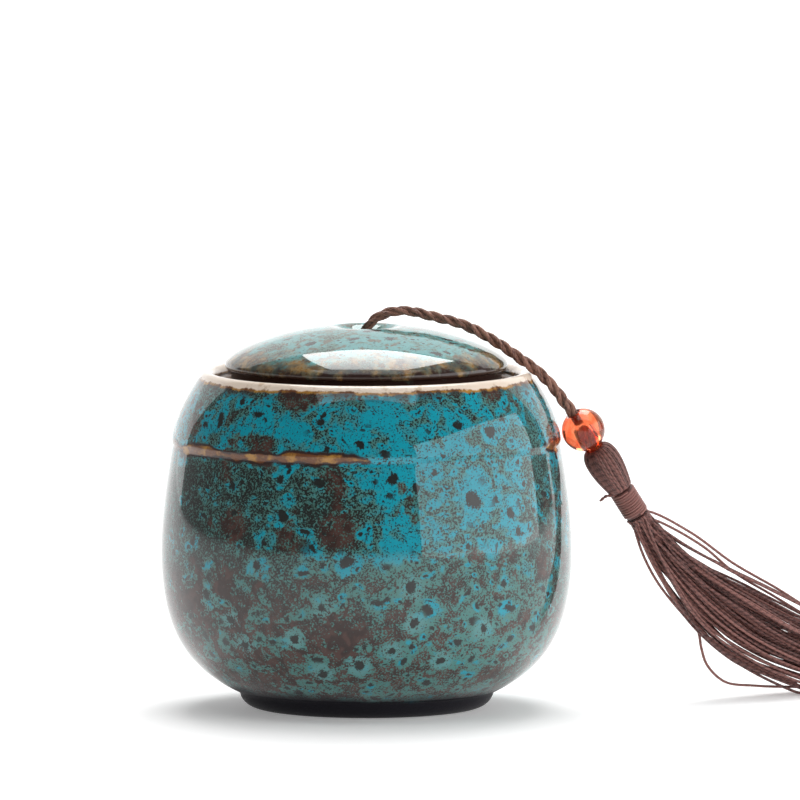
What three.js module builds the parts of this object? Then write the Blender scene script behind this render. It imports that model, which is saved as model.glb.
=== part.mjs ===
// A small lidded keepsake urn of glazed stoneware, with a knotted cord, a bead and a tassel.
// Millimetres, +Z up. The origin is the centre of the foot ring, on the surface it stands on.
// +X points to the side where the tassel hangs, and the front of the jar faces -Y.
import * as THREE from "three";

// Jar: the turned outline, from the foot ring up to the lip
const footTopRadius = 23.5;
const footHeight = 2.9;
const footInset = 3.9;
const footRingWidth = 4.1;
const footRecessDepth = 1.2;
const bellyRadius = 38;
const bellyHeight = 29;
const shoulderRadius = 35.85;
const shoulderDrop = 12.9;
const ridgeStep = 0.2;
const ridgeHeight = 0.5;
const rimHeight = 62.4;
const lipThickness = 2.8;
const wallThickness = 3.2;
const floorThickness = 4.4;
const floorCorner = 1.6;

// Mouth: the ledge that the lid sits on, and the throat under it
const lidGap = 1.9;
const ledgeDrop = 0.7;
const ledgeReach = 2.4;
const throatLength = 3.2;

// Lid
const lidRadius = 26.2;
const lidEdgeHeight = 3.3;
const lidEdgeRounding = 0.8;
const lidRise = 7.3;
const lidWall = 3;
const seatRingWidth = 1.8;
const flangeDepth = 4.2;
const flangeWall = 2.6;
const flangeClearance = 0.6;
const restGap = 0.3;
const dimpleRadius = 6.6;
const dimpleDepth = 1.7;
const dimpleLip = 0.2;

// Cord, with the knot that holds it under the lid
const cordDiameter = 1.8;
const cordClearance = 0.45;
const knotRadius = 2.3;
const knotHeight = 4.1;
const stemDepth = 1.1;

// Bead
const beadDiameter = 8;
const beadDrop = 11;
const beadWallGap = 0.35;

// Tassel
const hangPitch = THREE.MathUtils.degToRad(55.2);
const hangYaw = THREE.MathUtils.degToRad(28);
const pieceGap = 0.4;
const headLength = 9.2;
const headRadius = 3.25;
const headTopRadius = 1.9;
const bindingLength = 5.6;
const bindingRadius = 2.4;
const bindingTaper = 0.12;
const bindingTurns = 7;
const bindingGroove = 0.14;
const skirtReach = 47;
const skirtStraightFall = 26;
const skirtLayingDown = 16;
const skirtStartRadius = 2.25;
const skirtHalfHeight = 7;
const skirtHalfDepth = 4.6;
const skirtEndHeight = 4.2;
const skirtLocks = 9;
const lockRelief = 0.09;
const raggedness = 1.2;
const groundGap = 0.1;

// How round things are faceted
const jarSides = 44;
const smallSides = 18;
const cordSides = 8;
const cordSteps = 44;
const skirtSides = 36;
const skirtStations = 12;

const glaze = { roughness: 0.15, metalness: 0 };
const thread = { color: 0x5b3f38, roughness: 0.75, metalness: 0 };
const materials = {
  jar: new THREE.MeshStandardMaterial({ color: 0x2a7f88, ...glaze }),
  lid: new THREE.MeshStandardMaterial({ color: 0x5fa3a4, ...glaze }),
  bead: new THREE.MeshStandardMaterial({ color: 0xe0532e, roughness: 0.08, metalness: 0 }),
  cord: new THREE.MeshStandardMaterial(thread),
  tassel: new THREE.MeshStandardMaterial(thread),
};

const point = (x, y) => new THREE.Vector2(x, y);

// A point in the box between two corners, at a share of the way from the first in x and in y.
function between(from, to, shareX, shareY) {
  return point(from.x + (to.x - from.x) * shareX, from.y + (to.y - from.y) * shareY);
}

// A cubic curve in the plane, as count + 1 points. Its two pulls are shares of the box it spans.
function bend(from, to, pullFrom, pullTo, count) {
  const leaving = between(from, to, ...pullFrom);
  const arriving = between(from, to, ...pullTo);
  return new THREE.CubicBezierCurve(from, leaving, arriving, to).getPoints(count);
}

// An arc in the plane, as count + 1 points.
function arc(centre, radius, startAngle, endAngle, count) {
  const clockwise = endAngle < startAngle;
  return new THREE.EllipseCurve(
    centre.x, centre.y, radius, radius, startAngle, endAngle, clockwise,
  ).getPoints(count);
}

// The same line of points moved sideways, to the left of the way it runs.
function offset(points, distance) {
  return points.map((here, i) => {
    const before = points[Math.max(i - 1, 0)];
    const after = points[Math.min(i + 1, points.length - 1)];
    const along = after.clone().sub(before).normalize();
    return point(here.x - along.y * distance, here.y + along.x * distance);
  });
}

// A line of points without repeats of the point before.
function withoutRepeats(points) {
  const nearest = 0.02;
  return points.filter((p, i) => i === 0 || p.distanceTo(points[i - 1]) > nearest);
}

// A solid turned about Z from an outline of (radius, height) points, its inside to the left.
function turned(outline, sides) {
  return new THREE.LatheGeometry(outline, sides).rotateX(Math.PI / 2);
}

// A solid turned about Z with a hole through it: its outline closes on its first point.
function turnedRing(outline, sides) {
  return turned([...outline, outline[0]], sides);
}

// Radii and heights that the jar and the lid share
const lipRounding = lipThickness / 2;
const seatHeight = rimHeight - lipRounding - ledgeDrop;
const collarRadius = lidRadius + lidGap;
const throatRadius = lidRadius - ledgeReach;
const throatBottom = seatHeight - throatLength;
const cordRadius = cordDiameter / 2;
const cordHoleRadius = cordRadius + cordClearance;
const beadRadius = beadDiameter / 2;

// The jar's outer outline, in three curves: under the belly, over it, and the shoulder
const footEdge = point(footTopRadius, footHeight);
const belly = point(bellyRadius, bellyHeight);
const ridge = point(shoulderRadius + ridgeStep, rimHeight - shoulderDrop);
const underRidge = point(shoulderRadius, ridge.y - ridgeHeight);
const lipCentre = point(collarRadius + lipRounding, rimHeight - lipRounding);
const lipStart = THREE.MathUtils.degToRad(20);
const lipFoot = arc(lipCentre, lipRounding, lipStart, Math.PI, 1)[0];
const lowerBelly = bend(footEdge, belly, [0.63, 0.16], [1, 0.41], 8);
const upperBelly = bend(belly, underRidge, [0, 0.38], [0.7, 0.78], 4);
const shoulder = bend(ridge, lipFoot, [0.04, 0.3], [0.54, 0.72], 5);
const outerWall = [...lowerBelly, ...upperBelly, ...shoulder];

// The jar's outer radius at a height between its foot and its lip.
function outerRadiusAt(height) {
  const above = Math.max(outerWall.findIndex((p) => p.y > height), 1);
  const low = outerWall[above - 1];
  const high = outerWall[above];
  return low.x + ((high.x - low.x) * (height - low.y)) / (high.y - low.y);
}

function jarOutline() {
  const contactRadius = footTopRadius - footInset;
  const ringInnerRadius = contactRadius - footRingWidth;
  const floorTop = footRecessDepth + floorThickness;
  const foot = bend(point(contactRadius, 0), footEdge, [0.6, 0], [0.94, 0.45], 4);
  const lip = arc(lipCentre, lipRounding, lipStart, Math.PI, 5);
  const inside = offset(outerWall, wallThickness)
    .filter((p, i) => i % 2 === 0 && p.y > floorTop + 0.5 && p.y < throatBottom - 1)
    .reverse();
  const floorEdge = inside[inside.length - 1].x - floorCorner;
  return withoutRepeats([
    point(0, footRecessDepth),
    point(ringInnerRadius - footRecessDepth, footRecessDepth),
    point(ringInnerRadius, 0),
    ...foot,
    ...outerWall,
    ...lip,
    point(collarRadius, seatHeight),
    point(throatRadius, seatHeight),
    point(throatRadius, throatBottom),
    ...inside,
    point(floorEdge, floorTop),
    point(0, floorTop),
  ]);
}

// Heights on the lid, worked out from the ledge that it rests on
const lidBase = seatHeight + restGap;
const lidEdge = seatHeight + lidEdgeHeight;
const lidTop = lidEdge + lidRise;
const dimpleFloor = lidTop - dimpleDepth;
const lidUnderside = dimpleFloor - lidWall;
const flangeOuter = throatRadius - flangeClearance;
const flangeInner = flangeOuter - flangeWall;

function lidOutline() {
  const holeMouth = cordHoleRadius + 0.5;
  const crown = point(dimpleRadius, lidTop - dimpleLip);
  const widest = point(lidRadius, lidEdge);
  const dimple = bend(point(holeMouth, dimpleFloor), crown, [0.37, 0], [0.58, 1], 4);
  const dome = bend(crown, widest, [0.41, 0.06], [1, 0.66], 8).slice(1);
  const edgeCentre = point(lidRadius - lidEdgeRounding, lidEdge);
  const edge = arc(edgeCentre, lidEdgeRounding, 0, -Math.PI / 2, 3).slice(1);
  const seatOuter = flangeOuter + seatRingWidth;
  const flangeBottom = lidBase - flangeDepth;
  const flangeTaper = 0.3;
  const hollow = bend(
    point(flangeInner, lidBase), point(holeMouth, lidUnderside), [0, 0.65], [0.2, 1], 5,
  );
  return withoutRepeats([
    point(cordHoleRadius, lidUnderside),
    point(cordHoleRadius, dimpleFloor - 0.3),
    ...dimple,
    ...dome,
    ...edge,
    point(seatOuter, lidEdge - lidEdgeRounding - 0.2),
    point(seatOuter, lidBase),
    point(flangeOuter, lidBase),
    point(flangeOuter - flangeTaper, flangeBottom),
    point(flangeInner + flangeTaper, flangeBottom),
    ...hollow,
  ]).reverse();
}

// The stopper knot under the lid, with its stem in the lid's hole
function knotOutline() {
  const top = lidUnderside - restGap;
  const middle = top - knotHeight / 2;
  const stemTop = dimpleFloor - stemDepth;
  return [
    point(0, middle - knotHeight * 0.5),
    point(knotRadius * 0.6, middle - knotHeight * 0.46),
    point(knotRadius, middle - knotHeight * 0.2),
    point(knotRadius, middle + knotHeight * 0.18),
    point(knotRadius * 0.7, middle + knotHeight * 0.42),
    point(cordRadius * 1.1, top),
    point(cordRadius, top + restGap),
    point(cordRadius, stemTop),
    point(0, stemTop),
  ];
}

// Where the bead hangs: against the shoulder, below the rim
const beadHeight = rimHeight - beadDrop;
const beadReach = outerRadiusAt(beadHeight) + beadWallGap + beadRadius;
const beadCentre = new THREE.Vector3(beadReach, 0, beadHeight);
const planAxis = new THREE.Vector3(Math.cos(hangYaw), Math.sin(hangYaw), 0);
const hangAxis = planAxis
  .clone()
  .multiplyScalar(Math.cos(hangPitch))
  .setZ(-Math.sin(hangPitch));

// Distances below the bead's middle, on the line that the bead and the tassel hang along
const headTop = beadRadius + pieceGap;
const headBottom = headTop + headLength;
const bindingTop = headBottom + pieceGap;
const bindingBottom = bindingTop + bindingLength;

// The point on that line at such a distance.
function hangPoint(distance) {
  return beadCentre.clone().addScaledVector(hangAxis, distance);
}

// The cord's route as (x, y, z) points: out of the dimple, over the lid and its edge, and over the
// jar's lip. From there it runs straight through the bead, the tassel's head and the binding.
const cordRoute = [
  [-0.4, 0, 69.5],
  [0, 0, 70.2],
  [0.6, 0, 71.05],
  [1.4, 0, 71.85],
  [2.6, 0, 72.6],
  [4.2, 0, 73.2],
  [6.2, 0, 73.5],
  [8.6, 0, 73.35],
  [11.2, -0.2, 72.75],
  [14, -0.5, 72.1],
  [16.8, -0.8, 71.4],
  [19.5, -1.2, 70.35],
  [22.2, -1.6, 68.9],
  [25, -2, 67.25],
  [28.3, -2.4, 64.95],
  [31.2, -2.4, 62.85],
  [33.7, -2, 60.45],
  [35.9, -1.3, 57.6],
];

function cordGeometry() {
  const overLid = cordRoute.map((place) => new THREE.Vector3(...place));
  const throughBead = [-beadRadius, 0, beadRadius, headBottom, bindingBottom].map(hangPoint);
  const route = new THREE.CatmullRomCurve3([...overLid, ...throughBead], false, "centripetal");
  const section = new THREE.Shape(
    Array.from({ length: cordSides }, (_, i) => {
      const angle = (i / cordSides) * 2 * Math.PI;
      return point(cordRadius * Math.cos(angle), cordRadius * Math.sin(angle));
    }),
  );
  return new THREE.ExtrudeGeometry(section, { steps: cordSteps, extrudePath: route });
}

// A ball with a hole along Z
function beadOutline() {
  const hole = Math.acos(cordHoleRadius / beadRadius);
  return arc(point(0, 0), beadRadius, -hole, hole, 9);
}

// The head's outline, from its top at 0 down to -headLength, round the hole for the cord
function headOutline() {
  const top = point(headTopRadius, 0);
  const widest = point(headRadius, -headLength * 0.34);
  const neck = point(bindingRadius * 0.96, -headLength);
  return [
    point(cordHoleRadius, -0.5),
    ...bend(top, widest, [0.7, 0.09], [1, 0.47], 4),
    ...bend(widest, neck, [0, 0.39], [0.64, 0.77], 4).slice(1),
    point(cordHoleRadius, -headLength),
  ].reverse();
}

// The binding's outline, from its bottom up: one thread wound round and round, a groove between turns
function bindingOutline() {
  const pitch = bindingLength / bindingTurns;
  const turns = [];
  for (let turn = 0; turn < bindingTurns; turn++) {
    const height = turn * pitch - bindingLength;
    const radius = bindingRadius - bindingTaper * (1 - turn / bindingTurns);
    turns.push(
      point(radius - bindingGroove, height),
      point(radius, height + pitch * 0.3),
      point(radius, height + pitch * 0.7),
    );
  }
  return [
    point(cordHoleRadius, -bindingLength),
    ...turns,
    point(bindingRadius - bindingGroove, 0),
    point(cordHoleRadius, 0),
  ];
}

// The skirt falls from the binding in a curve and comes to lie on the ground.
function skirtCurve() {
  const start = hangPoint(bindingBottom + pieceGap);
  const end = start.clone().addScaledVector(planAxis, skirtReach).setZ(skirtEndHeight);
  const slopeBack = planAxis.clone().negate().setZ(0.25).normalize();
  return new THREE.CubicBezierCurve3(
    start,
    start.clone().addScaledVector(hangAxis, skirtStraightFall),
    end.clone().addScaledVector(slopeBack, skirtLayingDown),
    end,
  );
}

// How far the skirt has opened out, from 0 at the binding to 1.
function spreadAt(share) {
  const fullAt = 0.8;
  return Math.sin((Math.min(share / fullAt, 1) * Math.PI) / 2) ** 0.9;
}

// Each ring across the skirt is an oval with locks of thread standing out of it. Its end is ragged.
function skirtGeometry() {
  const curve = skirtCurve();
  const sideways = new THREE.Vector3(-Math.sin(hangYaw), Math.cos(hangYaw), 0);
  const lockTwist = 2;
  const places = [];
  for (let station = 0; station < skirtStations; station++) {
    const share = station / (skirtStations - 1);
    const centre = curve.getPointAt(share);
    const along = curve.getTangentAt(share);
    const up = new THREE.Vector3().crossVectors(along, sideways).normalize();
    const spread = spreadAt(share);
    const high = THREE.MathUtils.lerp(skirtStartRadius, skirtHalfHeight, spread);
    const deep = THREE.MathUtils.lerp(skirtStartRadius, skirtHalfDepth, spread);
    for (let side = 0; side < skirtSides; side++) {
      const angle = (side / skirtSides) * 2 * Math.PI;
      const lock = Math.cos(angle * skirtLocks + share * lockTwist);
      const swell = 1 + lockRelief * spread * lock;
      const ragged = station === skirtStations - 1 ? lock * raggedness : 0;
      const place = centre
        .clone()
        .addScaledVector(up, high * swell * Math.cos(angle))
        .addScaledVector(sideways, deep * swell * Math.sin(angle))
        .addScaledVector(along, ragged);
      place.z = Math.max(place.z, groundGap);
      places.push(place);
    }
  }
  return loft(places, skirtSides, skirtStations);
}

// A closed skin over rings of points, each end shut by a fan round its middle.
function loft(places, sides, stations) {
  const faces = [];
  for (let station = 0; station < stations - 1; station++) {
    for (let side = 0; side < sides; side++) {
      const here = station * sides + side;
      const beside = station * sides + ((side + 1) % sides);
      faces.push(here, here + sides, beside, beside, here + sides, beside + sides);
    }
  }
  const middles = [0, stations - 1].map((station) => {
    const ring = places.slice(station * sides, (station + 1) * sides);
    const sum = ring.reduce((total, p) => total.add(p), new THREE.Vector3());
    return sum.divideScalar(sides);
  });
  const lastRing = (stations - 1) * sides;
  for (let side = 0; side < sides; side++) {
    const next = (side + 1) % sides;
    faces.push(places.length, side, next);
    faces.push(places.length + 1, lastRing + next, lastRing + side);
  }
  const geometry = new THREE.BufferGeometry().setFromPoints([...places, ...middles]);
  geometry.setIndex(faces);
  return geometry;
}

// A named mesh in its material
function piece(name, geometry, material) {
  const mesh = new THREE.Mesh(geometry, material);
  mesh.name = name;
  return mesh;
}

// A ring turned about Z, stood on the line that the tassel hangs along
function hungPiece(name, outline, material, distance) {
  const mesh = piece(name, turnedRing(outline, smallSides), material);
  mesh.position.copy(hangPoint(distance));
  mesh.quaternion.setFromUnitVectors(new THREE.Vector3(0, 0, -1), hangAxis);
  return mesh;
}

const lidWithKnot = new THREE.Group();
lidWithKnot.add(
  piece("lid", turnedRing(lidOutline(), jarSides), materials.lid),
  piece("cord_knot", turned(knotOutline(), smallSides), materials.cord),
);

const tassel = new THREE.Group();
tassel.add(
  hungPiece("bead", beadOutline(), materials.bead, 0),
  hungPiece("tassel_head", headOutline(), materials.tassel, headTop),
  hungPiece("tassel_binding", bindingOutline(), materials.tassel, bindingTop),
  piece("tassel_skirt", skirtGeometry(), materials.tassel),
);

const urn = new THREE.Group();
urn.add(
  piece("jar", turned(jarOutline(), jarSides), materials.jar),
  lidWithKnot,
  piece("cord", cordGeometry(), materials.cord),
  tassel,
);

export default urn;
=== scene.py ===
"""A keepsake urn in blue reactive glaze, with its cord, glass bead and tassel."""

import logging
import math
from collections.abc import Mapping, Sequence
from dataclasses import dataclass
from enum import Enum
from typing import Optional, Union

import bpy
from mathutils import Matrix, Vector


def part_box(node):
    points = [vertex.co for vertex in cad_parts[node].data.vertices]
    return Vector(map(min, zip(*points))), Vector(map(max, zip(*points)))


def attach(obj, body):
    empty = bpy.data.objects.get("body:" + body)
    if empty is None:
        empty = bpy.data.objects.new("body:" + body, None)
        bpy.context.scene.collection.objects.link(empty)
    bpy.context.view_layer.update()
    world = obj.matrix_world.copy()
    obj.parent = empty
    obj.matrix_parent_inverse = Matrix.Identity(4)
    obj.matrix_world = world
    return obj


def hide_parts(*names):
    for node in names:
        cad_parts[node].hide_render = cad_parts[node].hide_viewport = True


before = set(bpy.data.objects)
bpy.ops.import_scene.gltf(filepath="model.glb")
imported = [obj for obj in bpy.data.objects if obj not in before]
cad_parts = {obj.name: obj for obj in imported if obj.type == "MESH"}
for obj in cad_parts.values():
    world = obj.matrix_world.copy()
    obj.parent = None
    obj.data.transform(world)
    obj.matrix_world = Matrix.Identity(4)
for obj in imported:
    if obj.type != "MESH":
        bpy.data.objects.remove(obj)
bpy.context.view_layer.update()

MM = 0.001
TURN = 2 * math.pi
GOLDEN_ANGLE = 2.39996
UNTWISTED = 1e6
LOG = logging.getLogger("keepsake_urn")

Flat = tuple[float, float]
Colour = tuple[float, float, float, float]
Operand = Union["Value", float, Sequence[float]]
WHITE: Colour = (1.0, 1.0, 1.0, 1.0)


class Slot(Enum):
    """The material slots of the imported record."""

    JAR_GLAZE = "jar_glaze"
    LID_GLAZE = "lid_glaze"
    CORD_THREAD = "cord_thread"
    BEAD_GLASS = "bead_glass"


class GlazeZone(Enum):
    """Which piece a glaze is fired on, for its bands of colour."""

    JAR = "jar"
    LID = "lid"


class KilnMark(Enum):
    """What the kiln left in one place of the glaze."""

    SPOT = "a dark core in a ring of copper"
    COPPER = "a thick patch of copper blue"
    POOL = "a brown pool where the copper ran thin"


@dataclass(frozen=True)
class Mark:
    """One mark on the front of a piece, in millimetres."""

    kind: KilnMark
    across: float
    height: float
    radius: float


def paint(red: float, green: float, blue: float) -> Colour:
    """A colour for a shader, given as a screen shows it.

    Args:
        red: The red part, from 0 to 255, as a screen shows it.
        green: The green part.
        blue: The blue part.

    Returns:
        The same colour as linear light, with an alpha of 1.
    """
    parts = [part / 255 for part in (red, green, blue)]
    light = [part / 12.92 if part < 0.04 else ((part + 0.055) / 1.055) ** 2.4 for part in parts]
    return (light[0], light[1], light[2], 1.0)


# Node graphs


def is_vector(operand: Operand) -> bool:
    """Whether an operand is a vector or a colour, and not one number."""
    if isinstance(operand, Value):
        return operand.socket.type in {"VECTOR", "RGBA"}
    return not isinstance(operand, (int, float))


class Value:
    """A node's output socket, which takes part in Python expressions."""

    def __init__(self, graph: "Graph", socket: bpy.types.NodeSocket) -> None:
        """Wrap a socket of a graph."""
        self.graph = graph
        self.socket = socket

    def beside(self, output: Union[int, str]) -> "Value":
        """Another output of the same node."""
        return Value(self.graph, self.socket.node.outputs[output])

    def __add__(self, other: Operand) -> "Value":
        """This and another, added."""
        return self.graph.combine("ADD", self, other)

    def __radd__(self, other: Operand) -> "Value":
        """Another and this, added."""
        return self.graph.combine("ADD", other, self)

    def __sub__(self, other: Operand) -> "Value":
        """Another taken from this."""
        return self.graph.combine("SUBTRACT", self, other)

    def __rsub__(self, other: Operand) -> "Value":
        """This taken from another."""
        return self.graph.combine("SUBTRACT", other, self)

    def __mul__(self, other: Operand) -> "Value":
        """This times another."""
        return self.graph.combine("MULTIPLY", self, other)

    def __rmul__(self, other: Operand) -> "Value":
        """Another times this."""
        return self.graph.combine("MULTIPLY", other, self)

    def __truediv__(self, other: Operand) -> "Value":
        """This divided by another."""
        return self.graph.combine("DIVIDE", self, other)

    def __rtruediv__(self, other: Operand) -> "Value":
        """Another divided by this."""
        return self.graph.combine("DIVIDE", other, self)

    def __pow__(self, other: Operand) -> "Value":
        """This to the power of another."""
        return self.graph.combine("POWER", self, other)


class Graph:
    """Adds nodes to a node tree and links them."""

    def __init__(self, tree: bpy.types.NodeTree) -> None:
        """Start on a tree."""
        self.tree = tree

    def link(self, operand: Operand, socket: bpy.types.NodeSocket) -> None:
        """Give a socket its value or its link.

        Args:
            operand: A value of this graph, or plain numbers.
            socket: The input that takes it.
        """
        if isinstance(operand, Value):
            self.tree.links.new(operand.socket, socket)
        elif socket.type == "VECTOR" and not is_vector(operand):
            socket.default_value = (operand, operand, operand)
        else:
            socket.default_value = operand

    def add(
        self,
        kind: str,
        settings: Optional[Mapping[str, object]] = None,
        inputs: Optional[Mapping[Union[int, str], Operand]] = None,
        output: Union[int, str] = 0,
    ) -> Value:
        """Add a node.

        Args:
            kind: The node's type.
            settings: Its own settings, which are made before its sockets are fed.
            inputs: The values or links of its sockets.
            output: The output to go on with.

        Returns:
            That output.
        """
        node = self.tree.nodes.new(kind)
        for name, setting in (settings or {}).items():
            setattr(node, name, setting)
        for name, operand in (inputs or {}).items():
            self.link(operand, node.inputs[name])
        return Value(self, node.outputs[output])

    def combine(self, operation: str, first: Operand, second: Operand) -> Value:
        """Join two operands by a Math or a Vector Math node.

        Args:
            operation: The node's operation.
            first: The first operand.
            second: The second operand.

        Returns:
            The result.
        """
        if not is_vector(first) and not is_vector(second):
            return self.math(operation, first, second)
        if operation == "MULTIPLY" and not (is_vector(first) and is_vector(second)):
            vector, factor = (first, second) if is_vector(first) else (second, first)
            return self.add("ShaderNodeVectorMath", {"operation": "SCALE"}, {0: vector, 3: factor})
        return self.add("ShaderNodeVectorMath", {"operation": operation}, {0: first, 1: second})

    def math(self, operation: str, *operands: Operand) -> Value:
        """A Math node on one, two or three operands."""
        return self.add("ShaderNodeMath", {"operation": operation}, dict(enumerate(operands)))

    def direction(self, operation: str, *operands: Operand) -> Value:
        """A Vector Math node that gives a vector."""
        return self.add("ShaderNodeVectorMath", {"operation": operation}, dict(enumerate(operands)))

    def vector(self, x: Operand, y: Operand, z: Operand) -> Value:
        """A vector from its three parts."""
        return self.add("ShaderNodeCombineXYZ", inputs={0: x, 1: y, 2: z})

    def parts(self, vector: Operand) -> tuple[Value, Value, Value]:
        """The three parts of a vector."""
        x = self.add("ShaderNodeSeparateXYZ", inputs={0: vector})
        return x, x.beside(1), x.beside(2)

    def step(self, value: Operand, low: float, high: float) -> Value:
        """A soft step.

        Args:
            value: What decides.
            low: Where the step starts. A low above high makes it fall.
            high: Where it ends.

        Returns:
            0 before the step and 1 after it.
        """
        settings = {"interpolation_type": "SMOOTHSTEP"}
        if low <= high:
            return self.add("ShaderNodeMapRange", settings, {0: value, 1: low, 2: high})
        return self.add("ShaderNodeMapRange", settings, {0: value, 1: high, 2: low, 3: 1.0, 4: 0.0})

    def mix(self, factor: Operand, first: Operand, second: Operand) -> Value:
        """A number between two, by a factor from 0 to 1."""
        settings = {"data_type": "FLOAT"}
        return self.add("ShaderNodeMix", settings, {0: factor, 2: first, 3: second})

    def noise(
        self, place: Operand, scale: float, detail: float = 2.0, roughness: float = 0.5
    ) -> Value:
        """Smooth noise in space.

        Args:
            place: Where it is read.
            scale: How many grains there are to one unit of place.
            detail: How many finer layers lie over it.
            roughness: How strong they are.

        Returns:
            The noise, round 0.5. The output beside it, "Color", holds three of them.
        """
        inputs = {"Vector": place, "Scale": scale, "Detail": detail, "Roughness": roughness}
        return self.add("ShaderNodeTexNoise", inputs=inputs)

    def cells(self, place: Operand, scale: float) -> Value:
        """Scattered points in space.

        Args:
            place: Where they are read.
            scale: How many points there are to one unit of place.

        Returns:
            The distance to the nearest, in cells. "Color" beside it is that point's own colour.
        """
        return self.add("ShaderNodeTexVoronoi", inputs={"Vector": place, "Scale": scale})


class Surface(Graph):
    """A material's nodes, round one shader."""

    def __init__(self, name: str) -> None:
        """Start a material."""
        self.material = bpy.data.materials.new(name)
        self.material.use_nodes = True
        super().__init__(self.material.node_tree)
        self.shader = self.tree.nodes["Principled BSDF"]

    def place(self) -> Value:
        """The place on the object, in millimetres."""
        return self.add("ShaderNodeTexCoord", output="Object") * 1000.0

    def attribute(self, name: str, output: str) -> Value:
        """A value that the piece's mesh carries."""
        return self.add("ShaderNodeAttribute", {"attribute_name": name}, output=output)

    def blend(self, factor: Operand, first: Operand, second: Operand) -> Value:
        """A colour between two, by a factor from 0 to 1."""
        settings = {"data_type": "RGBA"}
        return self.add("ShaderNodeMix", settings, {0: factor, 6: first, 7: second}, output=2)

    def feed(self, **sockets: Operand) -> None:
        """Feed the shader's sockets, named with _ for each space."""
        for name, operand in sockets.items():
            self.link(operand, self.shader.inputs[name.replace("_", " ")])

    def emboss(self, height: Value, depth: float) -> None:
        """Raise the surface by a height from 0 to 1, over a depth in metres."""
        bump = self.add("ShaderNodeBump", inputs={"Distance": depth, "Height": height})
        self.link(bump, self.shader.inputs["Normal"])


class GrowingTree(Graph):
    """A geometry node tree with named inputs, which turns a line or an outline into a piece."""

    def __init__(self, name: str) -> None:
        """Start a tree."""
        tree = bpy.data.node_groups.new(name, "GeometryNodeTree")
        tree.is_modifier = True
        super().__init__(tree)
        tree.interface.new_socket("Geometry", in_out="INPUT", socket_type="NodeSocketGeometry")
        tree.interface.new_socket("Geometry", in_out="OUTPUT", socket_type="NodeSocketGeometry")
        self.entry = tree.nodes.new("NodeGroupInput")
        self.sizes: list[tuple[str, object]] = []

    def source(self) -> Value:
        """The line or outline that the piece grows from."""
        return Value(self, self.entry.outputs["Geometry"])

    def size(self, name: str, amount: Union[int, float, Sequence[float]]) -> Value:
        """Add a named input.

        Args:
            name: The input's name.
            amount: What this piece gives it.

        Returns:
            The input.
        """
        kinds = {int: "NodeSocketInt", float: "NodeSocketFloat"}
        kind = kinds.get(type(amount), "NodeSocketVector")
        item = self.tree.interface.new_socket(name, in_out="INPUT", socket_type=kind)
        self.sizes.append((item.identifier, amount))
        return Value(self, self.entry.outputs[name])

    def chance(self, low: float, high: float, number: Operand, seed: int) -> Value:
        """A fixed random number between two, for each numbered item."""
        inputs = {2: low, 3: high, "ID": number, "Seed": seed}
        return self.add("FunctionNodeRandomValue", {"data_type": "FLOAT"}, inputs, output=1)

    def remember(self, geometry: Operand, name: str, value: Operand) -> Value:
        """Keep a value on the points of a geometry, under a name that a finish can read."""
        kind = "FLOAT_VECTOR" if is_vector(value) else "FLOAT"
        settings = {"data_type": kind, "domain": "POINT"}
        inputs = {"Geometry": geometry, "Name": name, "Value": value}
        return self.add("GeometryNodeStoreNamedAttribute", settings, inputs)

    def copies(self, amount: Operand) -> tuple[Value, Value]:
        """The source's lines, copied side by side, and the number of each copy."""
        line = self.add("GeometryNodeMeshToCurve", inputs={0: self.source()})
        inputs = {"Geometry": line, "Amount": amount}
        copied = self.add("GeometryNodeDuplicateElements", {"domain": "SPLINE"}, inputs)
        return copied, copied.beside(1)

    def tell(self, geometry: Operand, along: Value, number: Value, seed: int) -> Value:
        """Let each thread remember how far along it a point is, and a shade of its own."""
        told = self.remember(geometry, "along", along)
        return self.remember(told, "shade", self.chance(0.0, 1.0, number, seed))

    def tube(self, line: Operand, radius: Operand, sides: int, scale: Operand = 1.0) -> Value:
        """Give a line its thickness.

        Args:
            line: The curves.
            radius: Half of the thickness.
            sides: How many sides the section has.
            scale: What the thickness is multiplied by from place to place.

        Returns:
            A mesh that remembers the way round the section as "around".
        """
        section = self.add("GeometryNodeCurvePrimitiveCircle", inputs={0: sides, 4: radius})
        place = self.add("GeometryNodeInputPosition")
        section = self.remember(section, "around", self.direction("NORMALIZE", place))
        inputs = {0: line, 1: section, "Scale": scale, "Fill Caps": True}
        return self.add("GeometryNodeCurveToMesh", inputs=inputs)

    def grow(
        self, geometry: Operand, name: str, seed_line: bpy.types.Object, material: bpy.types.Material
    ) -> bpy.types.Object:
        """End the tree and grow the piece.

        Args:
            geometry: The tree's result.
            name: The piece's name.
            seed_line: The object that holds the line or outline. It is used up.
            material: The piece's material.

        Returns:
            The piece, as a plain mesh at the origin.
        """
        smooth = self.add("GeometryNodeSetShadeSmooth", inputs={0: geometry})
        real = self.add("GeometryNodeRealizeInstances", inputs={0: smooth})
        dressed = self.add("GeometryNodeSetMaterial", inputs={0: real})
        dressed.socket.node.inputs["Material"].default_value = material
        exit_node = self.tree.nodes.new("NodeGroupOutput")
        self.link(dressed, exit_node.inputs["Geometry"])
        modifier = seed_line.modifiers.new(name, "NODES")
        modifier.node_group = self.tree
        for identifier, amount in self.sizes:
            modifier[identifier] = amount
        grown = seed_line.evaluated_get(bpy.context.evaluated_depsgraph_get())
        mesh = bpy.data.meshes.new_from_object(grown)
        mesh.name = name
        seed_line.modifiers.remove(modifier)
        bpy.data.objects.remove(seed_line)
        return stand(name, mesh)


# Lines, outlines and objects


def stand(name: str, mesh: bpy.types.Mesh) -> bpy.types.Object:
    """An object at the origin that shows a mesh."""
    piece = bpy.data.objects.new(name, mesh)
    bpy.context.scene.collection.objects.link(piece)
    return piece


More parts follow.
